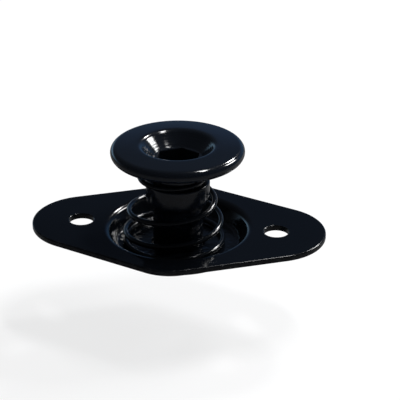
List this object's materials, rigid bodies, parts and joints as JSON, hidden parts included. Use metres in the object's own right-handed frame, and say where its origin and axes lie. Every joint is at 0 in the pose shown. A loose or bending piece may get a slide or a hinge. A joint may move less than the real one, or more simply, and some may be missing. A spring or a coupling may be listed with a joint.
{
  "type": "self-ejecting quarter turn panel fastener",
  "caption": "Gloss black diamond flange with a dished middle, and a spool-shaped stud that a coil spring holds up; the stud presses in and turns a quarter turn.",
  "frame": {"origin": "on the stud's axis, in the flange's underside, which lies against the panel", "axes": "+Z along the stud's axis towards its head; +X through the two rivet holes"},
  "size_m": [0.06, 0.039, 0.0276],
  "materials": {
    "flange_paint": "gloss black",
    "stud_black": "gloss black",
    "spring_black": "gloss black",
    "clip_steel": "black oxide",
    "pin_steel": "plain"
  },
  "bodies": {
    "flange": {"flange_plate": "flange_paint", "ejector_spring": "spring_black"},
    "clip": {"retaining_clip": "clip_steel"},
    "stud": {"stud": "stud_black", "cross_pin": "pin_steel"}
  },
  "joints": [
    {"name": "press", "type": "slide", "parent": "flange", "child": "clip", "axis": [0, 0, 1], "range_m": [-0.009, 0], "stiffness_N_per_m": 450, "springref_m": 0.006, "deforming": ["ejector_spring"]},
    {"name": "quarter_turn", "type": "hinge", "parent": "clip", "child": "stud", "pos_m": [0, 0, 0], "axis": [0, 0, 1], "range_deg": [-90, 0]}
  ]
}
